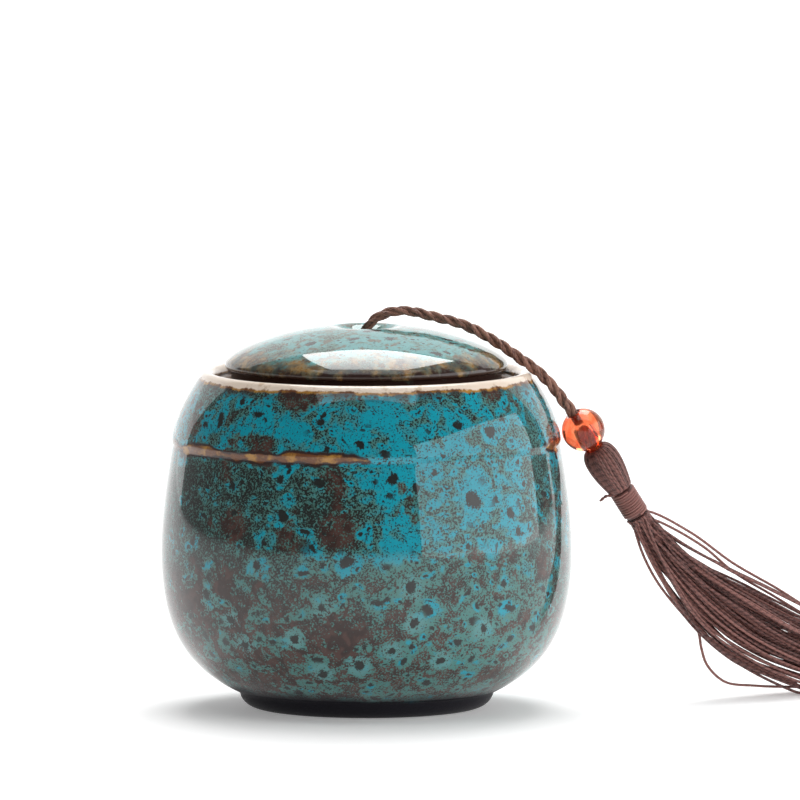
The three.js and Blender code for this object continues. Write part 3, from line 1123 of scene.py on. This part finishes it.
@dataclass
class Jar:
    """The jar, turned hollow. Sizes are in millimetres."""

    foot_top_radius: float = 23.5
    foot_height: float = 2.9
    foot_inset: float = 3.9
    foot_ring_width: float = 4.1
    foot_ring_slope: float = 1.6
    foot_recess_depth: float = 1.2
    belly_radius: float = 38.0
    belly_height: float = 29.0
    shoulder_radius: float = 35.85
    shoulder_drop: float = 12.9
    ridge_step: float = 0.2
    ridge_height: float = 0.5
    rim_height: float = 62.4
    lip_rounding: float = 1.4
    collar_radius: float = 28.1
    seat_height: float = 60.3
    throat_radius: float = 23.8
    throat_bottom: float = 57.1
    wall_thickness: float = 3.2
    floor_thickness: float = 4.4
    floor_corner: float = 1.6
    wobble: float = 0.16
    sides: int = 240
    marks: tuple[Mark, ...] = (
        Mark(KilnMark.SPOT, -1.2, 52.1, 2.6),
        Mark(KilnMark.SPOT, -15.6, 39.0, 3.4),
        Mark(KilnMark.SPOT, 4.9, 45.8, 2.8),
        Mark(KilnMark.SPOT, 8.9, 44.4, 2.4),
        Mark(KilnMark.SPOT, 19.5, 41.4, 4.6),
        Mark(KilnMark.SPOT, 26.4, 38.7, 3.0),
        Mark(KilnMark.SPOT, 22.8, 53.7, 3.0),
        Mark(KilnMark.SPOT, -20.0, 29.6, 3.2),
        Mark(KilnMark.SPOT, -29.5, 23.1, 3.2),
        Mark(KilnMark.SPOT, 8.2, 26.1, 3.0),
        Mark(KilnMark.SPOT, -1.2, 11.0, 3.0),
        Mark(KilnMark.SPOT, -22.3, 14.3, 3.0),
        Mark(KilnMark.SPOT, 25.4, 25.9, 2.6),
        Mark(KilnMark.SPOT, -13.4, 16.3, 2.9),
        Mark(KilnMark.SPOT, -8.4, 9.6, 2.7),
        Mark(KilnMark.SPOT, 4.4, 14.1, 2.5),
        Mark(KilnMark.SPOT, 9.2, 19.2, 2.6),
        Mark(KilnMark.SPOT, 14.0, 11.8, 2.7),
        Mark(KilnMark.SPOT, 21.4, 17.6, 2.6),
        Mark(KilnMark.SPOT, -8.2, 22.4, 2.6),
        Mark(KilnMark.SPOT, -25.2, 19.0, 2.4),
        Mark(KilnMark.COPPER, 3.4, 57.4, 4.8),
        Mark(KilnMark.COPPER, 8.4, 51.3, 4.6),
        Mark(KilnMark.COPPER, 7.1, 38.4, 4.8),
        Mark(KilnMark.COPPER, -14.1, 54.3, 4.2),
        Mark(KilnMark.COPPER, -23.0, 53.6, 3.4),
        Mark(KilnMark.COPPER, 5.3, 33.0, 3.6),
        Mark(KilnMark.POOL, -4.9, 36.3, 4.4),
        Mark(KilnMark.POOL, -26.7, 26.0, 4.0),
        Mark(KilnMark.POOL, -24.5, 36.5, 3.8),
        Mark(KilnMark.POOL, 20.0, 31.4, 2.2),
        Mark(KilnMark.POOL, 33.0, 28.5, 3.8),
        Mark(KilnMark.POOL, -3.5, 16.5, 6.0),
        Mark(KilnMark.POOL, -31.5, 54.0, 3.2),
    )

    def marks_on_wall(self) -> tuple[tuple[KilnMark, float, tuple[float, float, float]], ...]:
        """Each mark's kind, radius and place on the front of the outer wall."""
        wall = self.wall()
        placed = []
        for mark in self.marks:
            radius = next(point[0] for point in wall if point[1] >= mark.height)
            depth = -math.sqrt(max(radius**2 - mark.across**2, 0.0))
            placed.append((mark.kind, mark.radius, (mark.across, depth, mark.height)))
        return tuple(placed)

    def wall(self) -> list[Flat]:
        """The outer wall's outline, from the top of the foot to the lip."""
        foot_edge = (self.foot_top_radius, self.foot_height)
        belly = (self.belly_radius, self.belly_height)
        ridge = (self.shoulder_radius + self.ridge_step, self.rim_height - self.shoulder_drop)
        under_ridge = (self.shoulder_radius, ridge[1] - self.ridge_height)
        lip_foot = self.lip()[0]
        lower = bend(foot_edge, belly, (0.63, 0.16), (1.0, 0.41), 40)
        upper = bend(belly, under_ridge, (0.0, 0.38), (0.7, 0.78), 20)
        shoulder = bend(ridge, lip_foot, (0.04, 0.3), (0.54, 0.72), 24)
        return [*lower, *upper[1:], *shoulder]

    def lip(self) -> list[Flat]:
        """The rounded lip's outline, from outside to inside."""
        centre = (self.collar_radius + self.lip_rounding, self.rim_height - self.lip_rounding)
        return arc(centre, self.lip_rounding, 20.0, 180.0, 14)

    def outline(self) -> list[Flat]:
        """The whole outline, from under the foot to the middle of the floor inside."""
        contact = self.foot_top_radius - self.foot_inset
        ring_inner = contact - self.foot_ring_width
        floor_top = self.foot_recess_depth + self.floor_thickness
        foot_edge = (self.foot_top_radius, self.foot_height)
        foot = bend((contact, 0.0), foot_edge, (0.6, 0.0), (0.94, 0.45), 12)
        recess_edge = (ring_inner - self.foot_ring_slope, self.foot_recess_depth)
        recess = bend(recess_edge, (ring_inner + 0.3, 0.0), (0.6, 0.0), (0.5, 1.0), 8)
        wall = self.wall()
        inside = [
            point
            for point in inset(wall, self.wall_thickness)
            if floor_top + 0.5 < point[1] < self.throat_bottom - 1
        ]
        inside.reverse()
        floor_edge = (inside[-1][0] - self.floor_corner, floor_top)
        corner = bend(inside[-1], floor_edge, (0.2, 0.7), (0.5, 1.0), 5)[1:]
        throat_edge = (self.throat_radius, self.throat_bottom)
        under_throat = bend(throat_edge, inside[0], (0.2, 0.2), (0.9, 0.6), 4)[1:-1]
        return [
            (0.0, self.foot_recess_depth),
            (ring_inner * 0.5, self.foot_recess_depth),
            *recess,
            *foot,
            *wall[1:],
            *self.lip()[1:],
            (self.collar_radius, self.seat_height + 0.25),
            (self.collar_radius - 0.15, self.seat_height + 0.03),
            (self.collar_radius - 0.4, self.seat_height),
            (self.throat_radius + 0.5, self.seat_height),
            (self.throat_radius + 0.12, self.seat_height - 0.1),
            (self.throat_radius, self.seat_height - 0.45),
            (self.throat_radius, self.throat_bottom + 0.3),
            throat_edge,
            *under_throat,
            *inside,
            *corner,
            (floor_edge[0] * 0.5, floor_top),
            (0.0, floor_top),
        ]

    def build(self) -> list[bpy.types.Object]:
        """Turn the jar and glaze it."""
        outline = self.outline()
        within = (outline.index(self.lip()[-1]) / len(outline), 1.0)
        marks = self.marks_on_wall()
        glaze = ReactiveGlaze("jar_reactive_glaze", GlazeZone.JAR, within, marks).material()
        jar = turn_piece("jar_turned", outline, glaze, self.sides, self.wobble)
        return [settle(jar, "jar")]


@dataclass
class Lid:
    """The lid, hollow underneath, with the cord's hole. Sizes are in millimetres."""

    radius: float = 26.2
    base: float = 60.6
    edge_height: float = 63.6
    top: float = 70.9
    underside: float = 66.2
    edge_rounding: float = 0.8
    flange_outer: float = 23.2
    flange_inner: float = 20.6
    flange_depth: float = 4.2
    seat_outer: float = 25.0
    dimple_radius: float = 6.6
    dimple_floor: float = 69.2
    dimple_lip: float = 0.2
    cord_hole_radius: float = 1.35
    wobble: float = 0.16
    sides: int = 240

    def outline(self) -> list[Flat]:
        """The closed outline: under the lid, out to its edge, and over it to the hole."""
        hole_mouth = self.cord_hole_radius + 0.5
        crown = (self.dimple_radius, self.top - self.dimple_lip)
        widest = (self.radius, self.edge_height)
        edge_centre = (self.radius - self.edge_rounding, self.edge_height)
        flange_bottom = self.base - self.flange_depth
        taper = 0.3
        hollow = bend(
            (self.flange_inner, self.base), (hole_mouth, self.underside), (0.0, 0.65), (0.2, 1.0), 24
        )
        dimple = bend((hole_mouth, self.dimple_floor), crown, (0.37, 0.0), (0.58, 1.0), 16)
        dome = bend(crown, widest, (0.41, 0.06), (1.0, 0.66), 44)
        edge = arc(edge_centre, self.edge_rounding, 0.0, -90.0, 8)
        outline = [
            (self.cord_hole_radius, self.underside),
            (self.cord_hole_radius, self.dimple_floor - 0.3),
            *dimple,
            *dome[1:],
            *edge[1:],
            (self.seat_outer + 0.1, self.edge_height - self.edge_rounding),
            (self.seat_outer, self.edge_height - self.edge_rounding - 0.2),
            (self.seat_outer, self.base + 0.2),
            (self.seat_outer - 0.2, self.base),
            (self.flange_outer, self.base),
            (self.flange_outer - taper, flange_bottom + 0.3),
            (self.flange_outer - taper - 0.3, flange_bottom),
            (self.flange_inner + taper + 0.3, flange_bottom),
            (self.flange_inner + taper, flange_bottom + 0.3),
            *hollow,
            (self.cord_hole_radius, self.underside),
        ]
        outline.reverse()
        return outline

    def build(self) -> list[bpy.types.Object]:
        """Turn the lid and glaze it."""
        outline = self.outline()
        within = (-0.01, outline.index((self.flange_outer, self.base)) / len(outline))
        glaze = ReactiveGlaze(
            "lid_reactive_glaze",
            GlazeZone.LID,
            within,
            usual_cover=0.8,
            fullest_cover=1.0,
            cloud_gain=0.7,
            low_edge=(67.0, 64.0),
            low_sway=8.0,
            low_range=(0.25, 1.05),
            turquoise=paint(92, 160, 160),
            teal_grey=paint(96, 130, 118),
            deep_green=paint(70, 96, 84),
            maroon=paint(62, 52, 40),
            rust=paint(100, 72, 40),
        )
        lid = turn_piece("lid_turned", outline, glaze.material(), self.sides, self.wobble)
        return [settle(lid, "lid")]


@dataclass
class Hang:
    """The straight line that the bead, the tassel's head and its binding hang along."""

    bead_centre: Vector
    pitch: float = 55.2
    yaw: float = 28.0

    @property
    def plan_axis(self) -> Vector:
        """The way that the line goes, seen from above."""
        turn = math.radians(self.yaw)
        return Vector((math.cos(turn), math.sin(turn), 0.0))

    @property
    def axis(self) -> Vector:
        """The way that the line goes."""
        drop = math.radians(self.pitch)
        return self.plan_axis * math.cos(drop) - Vector((0.0, 0.0, math.sin(drop)))

    @property
    def sideways(self) -> Vector:
        """The level way across the line."""
        turn = math.radians(self.yaw)
        return Vector((-math.sin(turn), math.cos(turn), 0.0))

    def point(self, distance: float) -> Vector:
        """The point at a distance below the bead's middle, in millimetres."""
        return self.bead_centre + self.axis * (distance * MM)

    def place(self, piece: bpy.types.Object, distance: float) -> bpy.types.Object:
        """Move a piece that was made upright, with its top at the origin, on to the line.

        Args:
            piece: The piece.
            distance: Where its origin comes to, in millimetres below the bead's middle.

        Returns:
            The piece, with its place in its mesh.
        """
        turn = (-self.axis).to_track_quat("Z", "Y").to_matrix().to_4x4()
        turn.translation = self.point(distance)
        piece.data.transform(turn)
        return piece


@dataclass
class Bead:
    """The glass bead. Sizes are in millimetres."""

    hang: Hang
    diameter: float = 8.0
    hole_radius: float = 1.35
    collar_radius: float = 1.9
    collar_length: float = 0.3
    sides: int = 96

    def outline(self) -> list[Flat]:
        """The closed outline of a ball with a hole, and a small collar under it."""
        radius = self.diameter / 2
        hole = math.degrees(math.acos(self.hole_radius / radius))
        neck = math.degrees(math.acos(self.collar_radius / radius))
        ball = arc((0.0, 0.0), radius, -neck, hole, 48)
        collar_bottom = -radius * math.sin(math.radians(neck)) - 0.35 - self.collar_length
        collar = [
            (self.hole_radius, collar_bottom + 0.1),
            (self.hole_radius + 0.12, collar_bottom),
            (self.collar_radius - 0.2, collar_bottom + 0.03),
            (self.collar_radius, collar_bottom + 0.2),
        ]
        return [*collar, *ball, (self.hole_radius, 0.0), collar[0]]

    def build(self) -> list[bpy.types.Object]:
        """Turn the bead and hang it."""
        glass = OrangeGlass("orange_glass").material()
        bead = turn_piece("bead_glass_ball", self.outline(), glass, self.sides)
        self.hang.place(bead, 0.0)
        return [settle(bead, "bead")]


@dataclass
class Tassel:
    """The tassel: a head, a binding and a skirt of threads. Sizes are in millimetres."""

    hang: Hang
    head_top: float = 4.4
    head_length: float = 9.2
    head_radius: float = 3.25
    head_top_radius: float = 1.9
    neck_radius: float = 2.3
    head_threads: int = 40
    binding_top: float = 14.0
    binding_length: float = 5.6
    binding_radius: float = 2.4
    binding_turns: float = 11.0
    skirt_top: float = 20.0
    skirt_reach: float = 47.0
    skirt_end_height: float = 4.2
    straight_fall: float = 26.0
    laying_down: float = 16.0
    start_radius: float = 2.25
    half_height: float = 7.0
    half_depth: float = 4.6
    skirt_threads: int = 99
    skirt_locks: int = 11
    lock_wander: float = 3.2
    thread_wander: float = 1.1
    raggedness: float = 0.07
    open_by: float = 0.7
    thread_radius: float = 0.26
    winding_radius: float = 0.28

    def head_outline(self) -> list[Flat]:
        """The head's outline, from its top down."""
        top = (self.head_top_radius, 0.0)
        widest = (self.head_radius, -self.head_length * 0.34)
        neck = (self.neck_radius, -self.head_length)
        upper = bend(top, widest, (0.7, 0.09), (1.0, 0.47), 14)
        return [*upper, *bend(widest, neck, (0.0, 0.39), (0.64, 0.77), 18)[1:]]

    def head(self, material: bpy.types.Material) -> bpy.types.Object:
        """The head: threads from the cord's hole down to the neck, over a solid core."""
        shrink = 0.22
        outline = self.head_outline()
        core = [(max(radius - shrink, 0.3), height) for radius, height in outline]
        core = [(0.0, core[0][1] - 0.15), *core, (0.0, -self.head_length)]
        core.reverse()
        bulb = turn_piece("tassel_head_core", core, material, 48)
        tree = GrowingTree("tassel_head_threads")
        threads = tree.size("Threads", self.head_threads)
        radius = tree.size("Thread Radius", self.thread_radius * MM)
        copies, number = tree.copies(threads)
        share = tree.add("GeometryNodeSplineParameter")
        sway = tree.noise(tree.vector(number * 3.7, share * 1.3, 0.0), 1.0) - 0.5
        angle = (number + sway * 1.6) * TURN / threads
        turn_inputs = {"Vector": tree.add("GeometryNodeInputPosition"), "Angle": angle}
        turned = tree.add("ShaderNodeVectorRotate", inputs=turn_inputs)
        lift = 1 + (tree.chance(0.0, 1.0, number, seed=5) - 0.5) * 0.05
        told = tree.tell(copies, share.beside(1), number, seed=7)
        position = turned * tree.vector(lift, lift, 1.0)
        moved = tree.add("GeometryNodeSetPosition", inputs={"Geometry": told, "Position": position})
        seed = line_object(
            "tassel_head_threads",
            [
                (0.9 * MM, 0.0, -0.12 * MM),
                (1.4 * MM, 0.0, -0.02 * MM),
                *[((r - shrink) * MM, 0.0, z * MM) for r, z in outline[1:]],
            ],
        )
        skin = tree.grow(tree.tube(moved, radius, 5), "tassel_head_skin", seed, material)
        return self.hang.place(join("tassel_head_bulb", bulb, skin), self.head_top)

    def binding(self, material: bpy.types.Material) -> bpy.types.Object:
        """The binding: one thread wound round the neck, with its loose end sticking out."""
        core_radius = self.binding_radius - self.winding_radius - 0.08
        core = [
            (0.0, -self.binding_length),
            (core_radius, -self.binding_length),
            (core_radius, 0.0),
            (0.0, 0.0),
        ]
        neck = turn_piece("tassel_neck", core, material, 40)
        self.hang.place(neck, self.binding_top)
        lay = Lay(
            strands=1,
            yarns=1,
            strand_offset=self.binding_radius - self.winding_radius,
            yarn_offset=0.0,
            yarn_radius=self.winding_radius,
            strand_lay=self.binding_length / self.binding_turns,
            yarn_lay=UNTWISTED,
            unevenness=0.05,
            sides=8,
        )
        steps = 420
        inner = self.binding_length - 0.5
        line = [
            self.hang.point(self.binding_top + 0.25 + inner * step / steps)
            for step in range(steps + 1)
        ]
        winding = lay.make("tassel_winding", material, line)
        stub = Lay(1, 2, 0.0, 0.13, 0.17, UNTWISTED, 1.6)
        places = [(46.2, 2.6, 38.9), (45.2, 2.3, 38.95), (44.2, 2.3, 38.75), (43.2, 2.4, 37.9)]
        end = stub.make("tassel_stub", material, smooth_line(in_metres(places), 0.12 * MM))
        return join("tassel_winding_thread", neck, winding, end)

    def skirt_line(self) -> list[Vector]:
        """The line down the middle of the skirt: a fall from the binding that comes to lie down."""
        start = self.hang.point(self.skirt_top)
        end = start + self.hang.plan_axis * (self.skirt_reach * MM)
        end.z = self.skirt_end_height * MM
        slope_back = (-self.hang.plan_axis + Vector((0.0, 0.0, 0.25))).normalized()
        handles = (
            start,
            start + self.hang.axis * (self.straight_fall * MM),
            end + slope_back * (self.laying_down * MM),
            end,
        )
        steps = 84
        return [bezier(handles, step / steps) for step in range(steps + 1)]

    def skirt(self, material: bpy.types.Material) -> bpy.types.Object:
        """The skirt: a fan of threads with ragged ends, and a few that have strayed."""
        tree = GrowingTree("tassel_skirt_fan")
        threads = tree.size("Threads", self.skirt_threads)
        radius = tree.size("Thread Radius", self.thread_radius * MM)
        start_radius = tree.size("Start Radius", (self.start_radius + 0.1) * MM)
        half_height = tree.size("Half Height", self.half_height * MM)
        half_depth = tree.size("Half Depth", self.half_depth * MM)
        raggedness = tree.size("Raggedness", self.raggedness)
        wander = tree.size("Wander", self.thread_wander * MM)
        locks = tree.size("Locks", self.skirt_locks)
        lock_wander = tree.size("Lock Wander", self.lock_wander * MM)
        sideways = tree.size("Sideways", tuple(self.hang.sideways))
        copies, number = tree.copies(threads)
        share = tree.add("GeometryNodeSplineParameter")
        tangent = tree.add("GeometryNodeInputTangent")
        up = tree.direction("NORMALIZE", tree.direction("CROSS_PRODUCT", tangent, sideways))
        opening = tree.math("MINIMUM", share / self.open_by, 1.0) * (math.pi / 2)
        spread = tree.math("SINE", opening) ** 0.9

        def across(item: Value, count: Value, reach: float) -> tuple[Value, Value]:
            """Where one of many items lies across a round bundle of them."""
            angle = item * GOLDEN_ANGLE + 0.9
            distance = tree.math("SQRT", (item + 0.5) / count) * reach
            return distance * tree.math("COSINE", angle), distance * tree.math("SINE", angle)

        packed_up, packed_side = across(number, threads, 0.95)
        in_lock = tree.math("FLOOR", (number + 0.5) / locks)
        lock = number - in_lock * locks
        lock_up, lock_side = across(lock, locks, 0.96)
        thread_up, thread_side = across(in_lock + lock * 0.37, threads / locks, 0.3)
        high = tree.mix(spread, packed_up * start_radius, (lock_up + thread_up) * half_height)
        deep = tree.mix(spread, packed_side * start_radius, (lock_side + thread_side) * half_depth)
        offset = up * high + sideways * deep
        lock_place = tree.vector(lock * 9.1, share * 2.0, 3.0)
        lock_drift = tree.noise(lock_place, 1.0, detail=0.0).beside("Color") - 0.5
        offset = offset + lock_drift * (lock_wander * tree.step(share, 0.1, 0.55))
        drift_place = tree.vector(number * 5.3, share * 3.0, share * 0.7)
        drift = tree.noise(drift_place, 1.0, detail=1.0).beside("Color") - 0.5
        offset = offset + drift * (wander * tree.step(share, 0.0, 0.35))
        x, y, z = tree.parts(tree.add("GeometryNodeInputPosition") + offset)
        grounded = tree.vector(x, y, tree.math("MAXIMUM", z, 0.35 * MM))
        told = tree.tell(copies, share.beside(1), number, seed=13)
        moved = tree.add("GeometryNodeSetPosition", inputs={"Geometry": told, "Position": grounded})
        end = 1 - tree.chance(0.0, 1.0, number, seed=17) * raggedness
        cut = tree.add("GeometryNodeTrimCurve", inputs={0: moved, 3: end})
        thickness = tree.mix(tree.step(share, 0.0, 0.12), 0.8, 1.0)
        fan = tree.tube(cut, radius, 6, thickness)
        seed = line_object("tassel_skirt_fan", self.skirt_line())
        skirt = tree.grow(fan, "tassel_skirt_fan", seed, material)
        return join("tassel_skirt_threads", skirt, self.strays(material))

    def strays(self, material: bpy.types.Material) -> bpy.types.Object:
        """The threads that have come away from the skirt, as the photograph shows them."""
        above = [(49.8, 5.4, 35.4), (52.1, 6.5, 35.6), (60.1, 10.7, 31.2), (68.1, 15.0, 25.0)]
        above += [(76.2, 19.3, 19.9), (80.1, 21.4, 17.2), (86.5, 24.6, 12.6), (90.5, 26.6, 8.8)]
        over = [(50.2, 5.6, 35.0), (54.5, 7.7, 33.4), (62.5, 12.0, 28.4), (68.1, 15.2, 23.4)]
        over += [(76.0, 19.6, 18.2), (84.5, 24.0, 12.4), (91.5, 27.6, 6.8)]
        loop = [(50.0, 5.4, 34.8), (54.5, 7.6, 26.0), (59.5, 10.2, 17.0), (61.6, 11.4, 12.4)]
        loop += [(62.1, 11.8, 9.6), (63.2, 12.4, 6.3), (66.5, 14.1, 3.0), (72.2, 17.2, 1.9)]
        loop += [(80.1, 21.4, 1.2), (88.5, 25.8, 0.7)]
        under = [(49.0, 4.9, 35.2), (49.5, 5.1, 33.0), (51.2, 6.0, 27.6), (53.9, 7.4, 22.3)]
        under += [(58.2, 9.7, 16.6), (64.4, 13.0, 9.8), (70.0, 16.0, 5.6), (80.0, 21.3, 2.0)]
        lines = [smooth_line(in_metres(places), 0.5 * MM) for places in (above, over, loop, under)]
        lay = Lay(1, 1, 0.0, 0.0, self.thread_radius, UNTWISTED, UNTWISTED)
        return lay.make("tassel_stray_threads", material, *lines)

    def build(self) -> list[bpy.types.Object]:
        """Make the head, the binding and the skirt."""
        silk = TwistedThread("tassel_silk").material()
        return [
            settle(self.head(silk), "tassel_head"),
            settle(self.binding(silk), "tassel_binding"),
            settle(self.skirt(silk), "tassel_skirt"),
        ]


@dataclass
class Cord:
    """The cord: knotted under the lid, up through its hole, over the lip and into the tassel."""

    hang: Hang
    diameter: float = 1.8

    def route(self) -> list[Vector]:
        """The points that the cord passes through, from the lid's hole to the binding's end."""
        over_lid = [
            (-0.4, 0.0, 69.5), (0.0, 0.0, 70.2), (0.6, 0.0, 71.05), (1.4, 0.0, 71.85),
            (2.6, 0.0, 72.6), (4.2, 0.0, 73.2), (6.2, 0.0, 73.5), (8.6, 0.0, 73.35),
            (11.2, -0.2, 72.75), (14.0, -0.5, 72.1), (16.8, -0.8, 71.4), (19.5, -1.2, 70.35),
            (22.2, -1.6, 68.9), (25.0, -2.0, 67.25), (28.3, -2.4, 64.95), (31.2, -2.4, 62.85),
            (33.7, -2.0, 60.45), (35.9, -1.3, 57.6),
        ]
        hanging = [self.hang.point(distance) for distance in (-4.0, 0.0, 4.0, 13.6, 19.6)]
        return [*in_metres(over_lid), *hanging]

    def knot(self, material: bpy.types.Material) -> bpy.types.Object:
        """The stopper knot under the lid, with its stem in the hole."""
        middle = 63.85
        size = 0.47
        depth = 1.15
        steps = 72
        turns = [TURN * (0.02 + 0.94 * step / steps) for step in range(steps + 1)]
        loops = [
            (
                size * (math.sin(turn) + 2 * math.sin(2 * turn)),
                size * (math.cos(turn) - 2 * math.cos(2 * turn)),
                middle - depth * math.sin(3 * turn),
            )
            for turn in turns
        ]
        stem = [(0.0, 0.0, 68.0), (0.0, 0.0, 67.0), (0.0, 0.0, 66.0), (-0.1, -0.1, 65.3)]
        line = smooth_line(in_metres([*stem, *loops]), 0.15 * MM)
        lay = Lay(3, 3, 0.3, 0.17, 0.15, 4.2, 3.0, sides=5)
        return lay.make("cord_knot_wound", material, line)

    def build(self, carried: Sequence[bpy.types.Object]) -> list[bpy.types.Object]:
        """Args:
            carried: The pieces on the cord: the bead and the tassel's parts. It is not used.

        Returns:
            The cord and its knot.
        """
        thread = TwistedThread("cord_thread", paint(80, 50, 42), paint(158, 112, 94), 0.9 * MM)
        material = thread.material()
        line = smooth_line(self.route(), 0.28 * MM)
        lay = Lay(3, 6, 0.46, 0.3, 0.19, 8.4, 5.2, swell=1.3, unevenness=0.4)
        cord = lay.make("cord_laid", material, line)
        settle(cord, "cord")
        knot = settle(self.knot(material), "cord_knot")
        length = sum((two - one).length for one, two in zip(line, line[1:]))
        return [cord, knot]


def in_metres(places: Sequence[Sequence[float]]) -> list[Vector]:
    """Places in millimetres, as vectors in metres."""
    return [Vector(place) * MM for place in places]


def join(name: str, *pieces: bpy.types.Object) -> bpy.types.Object:
    """Make one piece of several that share a material.

    Args:
        name: The new piece's name.
        pieces: The pieces. The first takes in the others.

    Returns:
        The joined piece.
    """
    with bpy.context.temp_override(
        active_object=pieces[0], object=pieces[0], selected_editable_objects=list(pieces)
    ):
        bpy.ops.object.join()
    pieces[0].name = name
    pieces[0].data.name = name
    return pieces[0]


def settle(piece: bpy.types.Object, node: str) -> bpy.types.Object:
    """Put a finished piece in the frame.

    Args:
        piece: The piece.
        node: The CAD node that it stands for.

    Returns:
        The piece.
    """
    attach(piece, "root")
    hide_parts(node)
    return piece


def report(pieces: Sequence[bpy.types.Object]) -> None:
    """Log each piece with its number of triangles."""
    for piece in pieces:
        piece.data.calc_loop_triangles()
        LOG.info("%s: %d triangles", piece.name, len(piece.data.loop_triangles))


def main() -> None:
    """Build the studio and the urn in order."""
    logging.basicConfig(level=logging.INFO, format="%(message)s")
    studio = Studio(aim=Vector((6.19 * MM, 0.0, 56.94 * MM)))
    studio.set_camera()
    hang = Hang(bead_centre=sum(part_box("bead"), Vector()) / 2)
    carried = [*Bead(hang).build(), *Tassel(hang).build()]
    report([*Cord(hang).build(carried), *carried])
    report(Jar().build())
    report(Lid().build())
    studio.lay_floor()
    studio.light()


if __name__ == "__main__":
    main()
